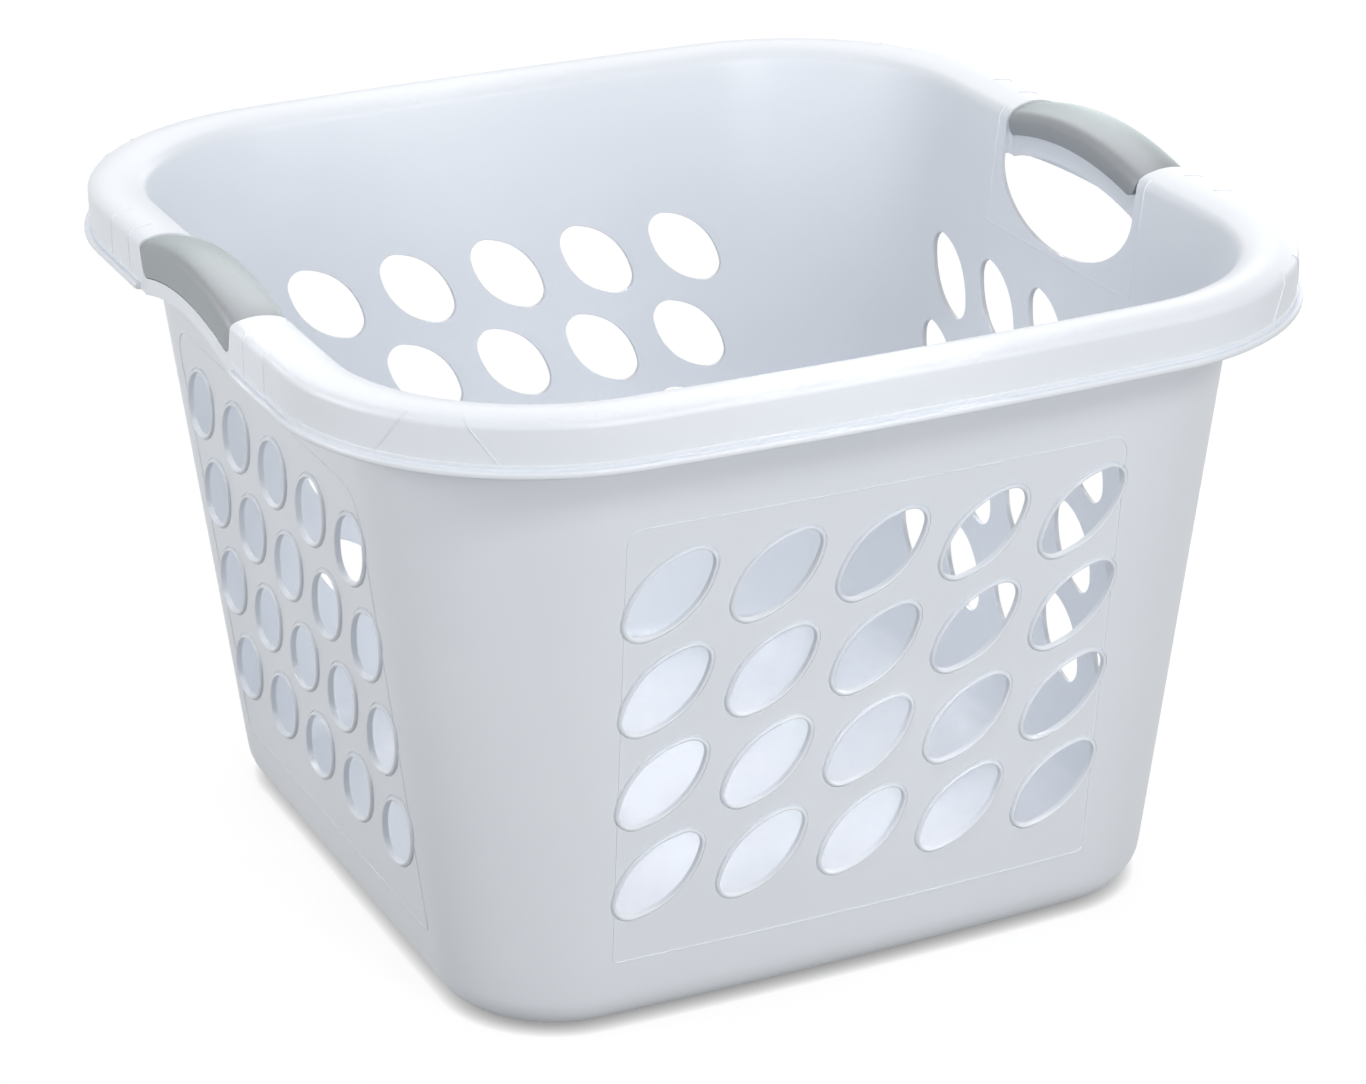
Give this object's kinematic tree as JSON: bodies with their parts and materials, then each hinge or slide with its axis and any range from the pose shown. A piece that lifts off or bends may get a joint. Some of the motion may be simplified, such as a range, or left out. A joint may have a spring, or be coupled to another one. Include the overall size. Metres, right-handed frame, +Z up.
{
  "type": "laundry basket",
  "caption": "Open square laundry basket of white plastic with leaf-shaped vents in drafted walls, a rolled rim and grey grips over its side hand holes.",
  "frame": {"origin": "centre of the underside of the floor, on the surface the basket stands on", "axes": "+Z up, -Y towards the front wall, the two handles on the -X and +X sides"},
  "size_m": [0.4812, 0.4844, 0.3237],
  "materials": {
    "basket": "satin injection-moulded polypropylene",
    "grip": "satin grey moulded plastic"
  },
  "bodies": {
    "root": {"basket": "basket", "grip_left": "grip", "grip_right": "grip"}
  },
  "joints": []
}
